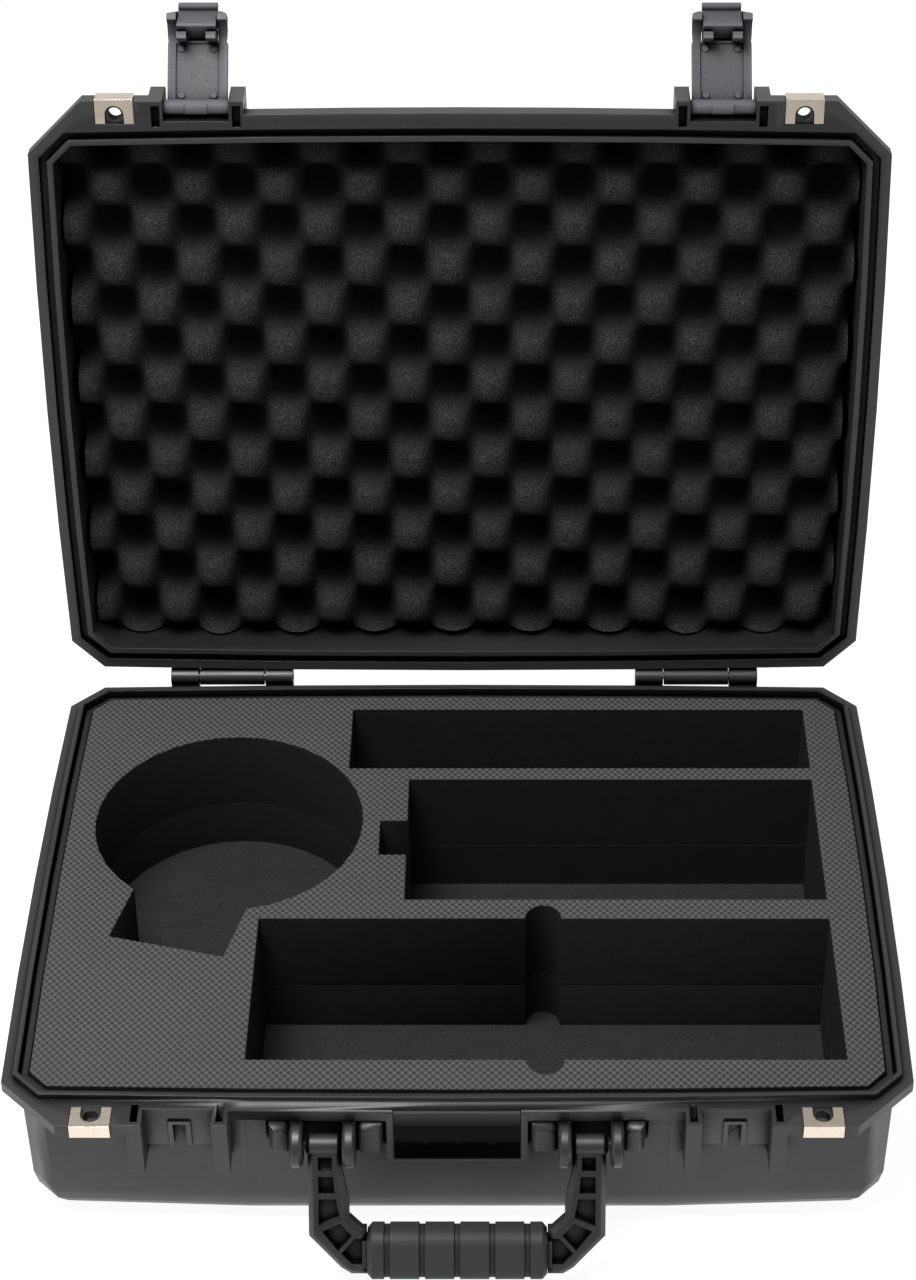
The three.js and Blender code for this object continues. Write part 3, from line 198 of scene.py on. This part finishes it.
class Finish:
    """A node material on a Principled shader"""

    def __init__(self, name):
        self.material = bpy.data.materials.new(name)
        self.material.use_nodes = True
        self.shader = self.material.node_tree.nodes["Principled BSDF"]
        self.place = self.node("ShaderNodeTexCoord").outputs["Object"]

    def node(self, kind, inputs=None, **settings):
        made = self.material.node_tree.nodes.new(kind)
        for key, value in settings.items():
            setattr(made, key, value)
        for key, value in (inputs or {}).items():
            self.put(made.inputs[key], value)
        return made

    def put(self, socket, value):
        if isinstance(value, bpy.types.NodeSocket):
            self.material.node_tree.links.new(value, socket)
        else:
            socket.default_value = value

    def set(self, **values):
        for key, value in values.items():
            self.put(self.shader.inputs[key.replace("_", " ")], value)

    def noise(self, scale, detail=2.0, roughness=0.5, vector=None):
        return self.node("ShaderNodeTexNoise", {
            "Vector": vector or self.place, "Scale": scale, "Detail": detail,
            "Roughness": roughness}).outputs["Fac"]

    def cells(self, scale):
        return self.node("ShaderNodeTexVoronoi", {
            "Vector": self.place, "Scale": scale}, feature="F1").outputs["Distance"]

    def maths(self, operation, a, b=0.0):
        return self.node("ShaderNodeMath", {0: a, 1: b}, operation=operation).outputs[0]

    def spread(self, value, low, high, to_low, to_high):
        return self.node("ShaderNodeMapRange", {
            "Value": value, "From Min": low, "From Max": high, "To Min": to_low,
            "To Max": to_high}).outputs["Result"]

    def mixed(self, share, a, b):
        made = self.node("ShaderNodeMix", data_type="RGBA")
        for socket, value in ((0, share), (6, a), (7, b)):
            self.put(made.inputs[socket], value)
        return made.outputs[2]

    def painted_shade_openness(self, distance):
        """1 on free faces, 0 deep in slots and gaps; masks the painted shade of slots and gaps"""
        shut = self.node("ShaderNodeAmbientOcclusion", {"Distance": distance}, samples=5).outputs["AO"]
        return self.spread(shut, 0.38, 0.86, 0.0, 1.0)

    def relief(self, height, distance, strength, under=None):
        bump = self.node("ShaderNodeBump", {
            "Height": height, "Distance": distance, "Strength": strength})
        if under is not None:
            self.put(bump.inputs["Normal"], under)
        return bump.outputs["Normal"]

    def rounded(self, radius):
        return self.node("ShaderNodeBevel", {"Radius": radius}, samples=6).outputs["Normal"]


def shade(colour, share=1.0):
    return (*[min(1.0, channel * share) for channel in colour], 1.0)


def moulded_plastic(name, colour, roughness, edge, grain=1500.0, depth=0.00004, wear=2.2, sheen=0.5):
    """Moulded plastic with a fine grain, faint handling marks, paler edges and painted shade in slots and
    gaps
    """
    finish = Finish(name)
    free = finish.painted_shade_openness(PAINTED_SHADE_REACH)
    marks = finish.noise(22.0, 5.0, 0.6)
    worn = finish.spread(
        finish.node("ShaderNodeNewGeometry").outputs["Pointiness"], 0.515, 0.56, 0.0, 1.0)
    specks = finish.spread(finish.noise(grain * 0.6, 1.0), 0.3, 0.7, 0.0, 1.0)
    blotches = finish.mixed(
        finish.spread(marks, 0.35, 0.7, 0.0, 1.0), shade(colour, 0.66), shade(colour, 0.88))
    plain = finish.mixed(specks, blotches, shade(colour, 1.36))
    finish.set(
        # painted shade: ambient occlusion darkens the colour to an eighth and fades the sheen deep in
        # slots and gaps
        Base_Color=finish.mixed(
            free, shade(colour, 0.12), finish.mixed(worn, plain, shade(colour, wear))),
        Specular_IOR_Level=finish.maths("MULTIPLY", free, sheen),
        Roughness=finish.spread(marks, 0.3, 0.7, roughness - 0.05, roughness + 0.06),
        Normal=finish.relief(finish.noise(grain, 2.0), depth, 0.6, finish.rounded(edge)),
    )
    return finish.material


def embossed_foam(name, colour, across, row):
    """Top of a foam sheet with staggered little bumps, with painted highlight on their tops and painted
    shade between them
    """
    finish = Finish(name)
    axes = finish.node("ShaderNodeSeparateXYZ", {0: finish.place})
    wave_x = finish.maths("COSINE", finish.maths("MULTIPLY", axes.outputs["X"], 2 * math.pi / across))
    wave_y = finish.maths("COSINE", finish.maths("MULTIPLY", axes.outputs["Y"], math.pi / row))
    bumps = finish.maths("MULTIPLY", wave_x, wave_y)
    pores = finish.noise(2600.0, 3.0)
    broad = finish.noise(14.0, 3.0)
    height = finish.maths("ADD", bumps, finish.maths("MULTIPLY", pores, 0.6))
    # painted light: bump tops lightened and the ground between them darkened, as light and shade fall on
    # the relief
    painted_bump_light = finish.mixed(
        finish.spread(bumps, -0.7, 0.45, 0.0, 1.0), shade(colour, 0.36), shade(colour, 1.4))
    finish.set(
        Base_Color=finish.mixed(finish.spread(broad, 0.35, 0.65, 0.0, 0.16), painted_bump_light, shade(colour, 0.8)),
        Roughness=0.78,
        Specular_IOR_Level=0.3,
        Normal=finish.relief(height, 0.0007, 0.9),
    )
    return finish.material


def open_foam(name, colour, pore=1500.0):
    """Open-cell foam on a cut face"""
    finish = Finish(name)
    pores = finish.cells(pore)
    blur = finish.noise(90.0, 4.0)
    height = finish.maths("ADD", pores, finish.maths("MULTIPLY", blur, 0.8))
    base = finish.mixed(finish.spread(blur, 0.3, 0.7, 0.0, 1.0), shade(colour, 0.85), shade(colour, 1.12))
    finish.set(
        Base_Color=finish.mixed(finish.spread(pores, 0.45, 0.8, 0.0, 1.0), base, shade(colour, 1.6)),
        Roughness=0.92,
        Specular_IOR_Level=0.12,
        Normal=finish.relief(height, 0.0004, 0.7),
    )
    return finish.material


def convoluted_foam(name, colour):
    """Open-cell foam with painted shade that makes it nearly black in its valleys"""
    finish = Finish(name)
    depth = finish.node("ShaderNodeAttribute", attribute_name="depth").outputs["Fac"]
    pores = finish.cells(900.0)
    blur = finish.noise(240.0, 3.0, 0.6)
    grain = finish.noise(950.0, 2.0, 0.7)
    plain = finish.mixed(
        finish.spread(grain, 0.36, 0.64, 0.0, 1.0), shade(colour, 0.35), shade(colour, 1.9))
    bright = finish.maths(
        "MULTIPLY", finish.spread(pores, 0.55, 0.85, 0.0, 0.8), finish.spread(blur, 0.4, 0.6, 0.0, 1.0))
    lit = finish.mixed(bright, plain, shade(colour, 3.0))
    finish.set(
        # painted shade: the colour darkens with depth to nearly black in the valleys and on the walls
        Base_Color=finish.mixed(finish.spread(depth, 0.1, 0.8, 0.0, 1.0), lit, shade(colour, 0.03)),
        Roughness=0.9,
        Specular_IOR_Level=0.15,
        Normal=finish.relief(finish.maths("ADD", pores, grain), 0.0006, 0.9),
    )
    return finish.material


def rolled_metal(name, colour, roughness):
    """Plated sheet metal with fine rolling lines"""
    finish = Finish(name)
    stretched = finish.node("ShaderNodeMapping", {
        "Vector": finish.place, "Scale": (60.0, 2500.0, 2500.0)})
    lines = finish.noise(1.0, 3.0, 0.6, stretched.outputs["Vector"])
    finish.set(
        Base_Color=finish.mixed(finish.noise(160.0, 3.0), shade(colour, 0.85), shade(colour, 1.1)),
        Metallic=1.0,
        Roughness=finish.spread(lines, 0.3, 0.7, roughness - 0.08, roughness + 0.1),
        Normal=finish.relief(lines, 0.00002, 0.5, finish.rounded(0.00025)),
    )
    return finish.material


def bare_plate(name):
    """Gloss plate with a faint unevenness and a painted reflection that makes it paler towards its top"""
    finish = Finish(name)
    inside = finish.node("ShaderNodeTexCoord").outputs["Generated"]
    height = finish.node("ShaderNodeSeparateXYZ", {0: inside}).outputs["Z"]
    dark = finish.mixed(finish.noise(30.0), shade((0.0012, 0.0012, 0.0012)), shade((0.002, 0.002, 0.002)))
    finish.set(
        # painted reflection: the top of the plate is lightened as if it mirrored a light band
        Base_Color=finish.mixed(
            finish.spread(height, 0.7, 0.97, 0.0, 1.0), dark, shade((0.052, 0.049, 0.048))),
        Roughness=finish.spread(finish.noise(55.0, 4.0), 0.3, 0.7, 0.06, 0.12),
        Specular_IOR_Level=0.04,
        Normal=finish.relief(finish.noise(20.0), 0.0002, 0.2, finish.rounded(0.0006)),
    )
    return finish.material


def pale_floor(name, colour, glow, lit_reach, dark_reach):
    """White floor that is lit from below as well, in a wide round around the case"""
    finish = Finish(name)
    centred = finish.node("ShaderNodeMapping", {
        "Vector": finish.place, "Location": (0.0, -FLOOR_LIT_MIDDLE, 0.0)})
    reach = finish.node(
        "ShaderNodeVectorMath", {0: centred.outputs["Vector"]}, operation="LENGTH").outputs["Value"]
    finish.set(
        Base_Color=finish.mixed(finish.noise(3.0), shade(colour, 0.97), shade(colour)), Roughness=0.7,
        Emission_Color=(1.0, 1.0, 1.0, 1.0),
        Emission_Strength=finish.spread(reach, lit_reach, dark_reach, glow, glow * 0.3))
    return finish.material


# Pieces


def smooth(mesh, angle):
    mesh.polygons.foreach_set("use_smooth", [True] * len(mesh.polygons))
    mesh.set_sharp_from_angle(angle=math.radians(angle))


def place_piece(name, mesh, material, node):
    """Puts a finished piece where a CAD node is, and hides the node"""
    mesh.materials.append(material)
    piece = bpy.data.objects.new(name, mesh)
    bpy.context.collection.objects.link(piece)
    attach(piece, BODY_OF[node])
    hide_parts(node)
    return piece


def joined_copy(node):
    """A copy of a CAD node's mesh with its triangles joined"""
    bm = bmesh.new()
    bm.from_mesh(frame["nodes"][node].data)
    bmesh.ops.remove_doubles(bm, verts=bm.verts, dist=SAME_PLACE)
    bmesh.ops.dissolve_limit(
        bm, angle_limit=math.radians(FLAT_ANGLE), use_dissolve_boundaries=False, verts=bm.verts,
        edges=bm.edges)
    return bm


def mesh_from(bm, name):
    mesh = bpy.data.meshes.new(name)
    bm.to_mesh(mesh)
    bm.free()
    return mesh


def finished(node, material, angle=FOLD_ANGLE):
    """The CAD node's own shape with joined faces, smooth curves and a finish"""
    mesh = mesh_from(joined_copy(node), f"{node}_finished")
    smooth(mesh, angle)
    piece = place_piece(f"{node}_finished", mesh, material, node)
    even = piece.modifiers.new("even faces", "WEIGHTED_NORMAL")
    even.keep_sharp = True
    return piece


def lid_pose():
    """Turns what is modelled on the shut lid to where the lid stands"""
    hinge = Vector(LID_JOINT["pos_m"])
    angle = math.radians(min(LID_JOINT["range_deg"]))
    return Matrix.Translation(hinge) @ Matrix.Rotation(angle, 4, "X") @ Matrix.Translation(-hinge)


# Operators


class CASE_OT_shells(bpy.types.Operator):
    """Finish the base, the lid, the gasket and the name plate"""

    bl_idname = "case.shells"
    bl_label = "Shells"

    def execute(self, context):
        looks = context.scene.case_shell
        plastic = moulded_plastic("shell plastic", looks.colour, looks.roughness, looks.edge)
        finished("base_shell", plastic)
        finished("lid_shell", plastic)
        finished("lid_gasket", moulded_plastic(
            "gasket rubber", (0.01, 0.01, 0.01), roughness=0.6, edge=0.0005))
        finished("name_plate", bare_plate("bare plate"))
        return {"FINISHED"}


class CASE_OT_insert(bpy.types.Operator):
    """Model the cut foam insert and the pad under it"""

    bl_idname = "case.insert"
    bl_label = "Foam Insert"

    def execute(self, context):
        looks = context.scene.case_foam
        top = embossed_foam("embossed foam", looks.top_colour, looks.emboss_width, looks.emboss_row)
        cut = open_foam("cut foam", looks.cut_colour)
        pad = open_foam("pad foam", looks.floor_colour, 1100.0)
        foams = {"base_foam_top": top, "base_foam_lower": cut, "base_foam_floor": pad}
        for node, material in foams.items():
            bm = joined_copy(node)
            highest = max(v.co.z for v in bm.verts)
            rim = [
                e for e in bm.edges
                if len(e.link_faces) == 2 and all(abs(v.co.z - highest) < SAME_PLACE for v in e.verts)
                and min(f.normal.z for f in e.link_faces) < UPRIGHT
            ]
            bmesh.ops.bevel(
                bm, geom=rim, offset=looks.rim, segments=3, profile=0.5, affect="EDGES", material=-1)
            mesh = mesh_from(bm, f"{node}_foam")
            smooth(mesh, SOFT_FOLD_ANGLE)
            piece = place_piece(f"{node}_foam", mesh, material, node)
            if node == "base_foam_top":
                mesh.materials.append(cut)
                for face in mesh.polygons:
                    face.material_index = 0 if face.normal.z > UPRIGHT else 1
        return {"FINISHED"}


class CASE_OT_lid_foam(bpy.types.Operator):
    """Model the convoluted foam in the lid"""

    bl_idname = "case.lid_foam"
    bl_label = "Lid Foam"

    def execute(self, context):
        looks = context.scene.case_foam
        solid = joined_copy("lid_foam")
        back = lid_pose().inverted()
        bmesh.ops.transform(solid, matrix=back, verts=solid.verts)
        bm = self.wave(looks, self.outline(solid))
        self.trim(bm, solid)
        solid.free()
        bmesh.ops.transform(bm, matrix=lid_pose(), verts=bm.verts)
        mesh = mesh_from(bm, "lid_foam_waves")
        smooth(mesh, ROUND_FOLD_ANGLE)
        foam = convoluted_foam("convoluted foam", looks.lid_colour)
        piece = place_piece("lid_foam_waves", mesh, foam, "lid_foam")
        return {"FINISHED"}

    def outline(self, solid):
        """Corners of the box round the foam, lid shut"""
        low = [min(v.co[i] for v in solid.verts) for i in range(3)]
        high = [max(v.co[i] for v in solid.verts) for i in range(3)]
        return low, high

    def wave(self, looks, outline):
        """Block with a waved face, whose sides bow out a little"""
        low, high = outline
        middle = [(low[i] + high[i]) / 2 for i in range(2)]
        half = [(high[i] - low[i]) / 2 for i in range(2)]
        step = looks.pitch / looks.steps
        columns, rows = [round(2 * h / step) for h in half]
        bm = bmesh.new()
        depth = bm.verts.layers.float.new("depth")
        bmesh.ops.create_grid(bm, x_segments=columns, y_segments=rows, size=1.0)
        for v in bm.verts:
            u, w = v.co.x, v.co.y
            bow_x, bow_y = SIDE_BOW * (w * w - 1), END_BOW * (u * u - 1)
            x = middle[0] + u * (half[0] + bow_x)
            y = middle[1] + w * (half[1] + bow_y)
            height, share = self.height(looks, x, y + CASE_DEPTH_MIDDLE)
            v.co = (x, y, PARTING_HEIGHT + height)
            v[depth] = share
        edge = [e for e in bm.edges if e.is_boundary]
        walls = bmesh.ops.extrude_edge_only(bm, edges=edge)
        for v in (g for g in walls["geom"] if isinstance(g, bmesh.types.BMVert)):
            v.co.z = high[2]
            v[depth] = 1.0
        bmesh.ops.holes_fill(bm, edges=[e for e in bm.edges if e.is_boundary])
        bmesh.ops.recalc_face_normals(bm, faces=bm.faces)
        return bm

    def trim(self, block, solid):
        """Cut the block to the rounded inside of the lid, which the solid fills"""
        lowest = min(v.co.z for v in solid.verts)
        hull = bmesh.new()
        for v in solid.verts:
            hull.verts.new(v.co)
            hull.verts.new((v.co.x, v.co.y, lowest))
        bmesh.ops.convex_hull(hull, input=hull.verts)
        planes = {}
        for face in hull.faces:
            face.normal_update()
            if abs(face.normal.z) < LEVEL:
                place = face.calc_center_median()
                key = (*[round(c, 2) for c in face.normal], round(place.dot(face.normal), 3))
                planes.setdefault(key, (place, face.normal.copy()))
        hull.free()
        for place, normal in planes.values():
            cut = bmesh.ops.bisect_plane(
                block, geom=block.verts[:] + block.edges[:] + block.faces[:], dist=CUT_TOLERANCE,
                plane_co=place, plane_no=normal, clear_outer=True)
            edges = [g for g in cut["geom_cut"] if isinstance(g, bmesh.types.BMEdge) and g.is_boundary]
            bmesh.ops.holes_fill(block, edges=edges)
        bmesh.ops.recalc_face_normals(block, faces=block.faces)

    def height(self, looks, x, y):
        """Height over the rim of the wave at a place, and its depth from peak to valley"""
        across, along = 2 * math.pi / looks.pitch, 2 * math.pi / looks.rows_pitch
        wave = math.cos((x - WAVE_PHASE_X) * across) * math.cos((y - WAVE_PHASE_Y) * along)
        low, raised, high = [
            math.tanh(looks.steepness * (level - looks.narrowness)) for level in (-1.0, wave, 1.0)]
        share = (high - raised) / (high - low)
        return looks.peak + (looks.valley - looks.peak) * share, share


class CASE_OT_latches(bpy.types.Operator):
    """Finish the latches with their triggers, springs and pins"""

    bl_idname = "case.latches"
    bl_label = "Latches"

    def execute(self, context):
        looks = context.scene.case_latch
        plastic = moulded_plastic(
            "latch plastic", looks.colour, roughness=0.62, edge=0.0005, grain=1900.0, depth=0.00002,
            wear=1.6, sheen=0.38)
        steel = rolled_metal("pin steel", (0.42, 0.42, 0.43), 0.3)
        dull_steel = rolled_metal("dull pin steel", (0.04, 0.04, 0.042), 0.5)
        for side in ("left", "right"):
            finished(f"latch_{side}", plastic)
            finished(f"latch_trigger_{side}", plastic)
            for stem in ("latch_pin", "trigger_pin", "hinge_pin"):
                finished(f"{stem}_{side}", steel)
            finished(f"handle_pin_{side}", dull_steel)
            spring = finished(f"trigger_spring_{side}", steel, ROUND_FOLD_ANGLE)
            rounding = spring.modifiers.new("rounding", "SUBSURF")
            rounding.levels = rounding.render_levels = 2
        return {"FINISHED"}


class CASE_OT_handle(bpy.types.Operator):
    """Finish the handle's frame and its grip"""

    bl_idname = "case.handle"
    bl_label = "Handle"

    def execute(self, context):
        shell, looks = context.scene.case_shell, context.scene.case_latch
        finished("handle_frame", moulded_plastic("handle plastic", shell.colour, 0.46, shell.edge))
        rubber = moulded_plastic(
            "grip rubber", looks.grip_colour, roughness=0.6, edge=0.0008, grain=1300.0, depth=0.00005,
            wear=1.3, sheen=0.3)
        finished("handle_grip", rubber, SOFT_FOLD_ANGLE)
        return {"FINISHED"}


class CASE_OT_clips(bpy.types.Operator):
    """Finish the padlock clips"""

    bl_idname = "case.clips"
    bl_label = "Padlock Clips"

    def execute(self, context):
        metal = rolled_metal("clip metal", context.scene.case_latch.clip_colour, 0.28)
        for half in ("base", "lid"):
            for side in ("left", "right"):
                finished(f"padlock_clip_{half}_{side}", metal)
        return {"FINISHED"}


class CASE_OT_stage(bpy.types.Operator):
    """Set the floor, the lights and the camera"""

    bl_idname = "case.stage"
    bl_label = "Stage"

    def execute(self, context):
        looks = context.scene.case_stage
        bm = bmesh.new()
        bmesh.ops.create_grid(bm, x_segments=1, y_segments=1, size=FLOOR_REACH)
        mesh = mesh_from(bm, "floor")
        mesh.materials.append(pale_floor(
            "floor", looks.floor_colour, looks.floor_glow, looks.lit_reach, looks.dark_reach))
        floor = bpy.data.objects.new("floor", mesh)
        context.collection.objects.link(floor)
        world = context.scene.world or bpy.data.worlds.new("studio")
        context.scene.world = world
        self.sky(world, looks)
        for name, place, target, size, power in LIGHTS:
            self.light(name, place, target, size, getattr(looks, power))
        context.scene.view_settings.view_transform = "Standard"
        self.camera(context)
        return {"FINISHED"}

    def sky(self, world, looks):
        """A white wall behind in a darker room"""
        world.use_nodes = True
        tree = world.node_tree
        place = tree.nodes.new("ShaderNodeTexCoord")
        lean = tree.nodes.new("ShaderNodeVectorMath")
        lean.operation = "DOT_PRODUCT"
        lean.inputs[1].default_value = SKY_LEAN
        fade = tree.nodes.new("ShaderNodeMapRange")
        settings = {"From Min": -0.6, "From Max": 0.65, "To Min": looks.back_wall, "To Max": looks.room}
        for key, value in settings.items():
            fade.inputs[key].default_value = value
        tree.links.new(place.outputs["Generated"], lean.inputs[0])
        tree.links.new(lean.outputs["Value"], fade.inputs["Value"])
        sky = tree.nodes["Background"]
        sky.inputs["Color"].default_value = (1.0, 1.0, 1.0, 1.0)
        tree.links.new(fade.outputs["Result"], sky.inputs["Strength"])

    def light(self, name, place, target, size, power):
        lamp = bpy.data.lights.new(name, "AREA")
        lamp.shape = "RECTANGLE"
        lamp.size, lamp.size_y = size
        lamp.energy = power
        holder = bpy.data.objects.new(name, lamp)
        holder.location = place
        way = Vector(target) - Vector(place)
        holder.rotation_euler = way.to_track_quat("-Z", "Y").to_euler()
        bpy.context.collection.objects.link(holder)

    def camera(self, context):
        focal, middle_x, wide, high, sensor = 2998.5, 504.0, 916.0, 1280.0, 36.0
        lens = bpy.data.cameras.new("camera")
        lens.sensor_width = sensor
        lens.lens = focal / high * sensor
        lens.shift_x = (wide / 2 - middle_x) / high
        lens.clip_start, lens.clip_end = 0.05, 50.0
        view = bpy.data.objects.new("camera", lens)
        view.location = CAMERA_PLACE
        view.rotation_euler = (math.radians(90 - CAMERA_FALL), 0.0, 0.0)
        context.collection.objects.link(view)
        context.scene.camera = view


class CASE_PT_panel(bpy.types.Panel):
    """Lists the steps that dress the flight case"""

    bl_idname = "CASE_PT_panel"
    bl_label = "Flight Case"
    bl_space_type = "VIEW_3D"
    bl_region_type = "UI"
    bl_category = "Flight Case"

    def draw(self, context):
        for name in GROUPS:
            group = getattr(context.scene, name)
            box = self.layout.box()
            for prop in group.bl_rna.properties:
                if prop.identifier not in ("name", "rna_type"):
                    box.prop(group, prop.identifier)
        for operator in OPERATORS:
            self.layout.operator(operator.bl_idname)


GROUPS = {
    "case_shell": ShellLooks, "case_foam": FoamLooks, "case_latch": LatchLooks, "case_stage": StageLooks,
}
OPERATORS = (
    CASE_OT_shells, CASE_OT_insert, CASE_OT_lid_foam, CASE_OT_latches, CASE_OT_handle, CASE_OT_clips,
    CASE_OT_stage,
)


def register():
    for cls in (*GROUPS.values(), *OPERATORS, CASE_PT_panel):
        bpy.utils.register_class(cls)
    for name, group in GROUPS.items():
        setattr(bpy.types.Scene, name, PointerProperty(type=group))


def unregister():
    for name in GROUPS:
        delattr(bpy.types.Scene, name)
    for cls in reversed((*GROUPS.values(), *OPERATORS, CASE_PT_panel)):
        bpy.utils.unregister_class(cls)


def main():
    register()
    bpy.ops.case.shells()
    bpy.ops.case.insert()
    bpy.ops.case.lid_foam()
    bpy.ops.case.latches()
    bpy.ops.case.handle()
    bpy.ops.case.clips()
    bpy.ops.case.stage()


if __name__ == "__main__":
    main()
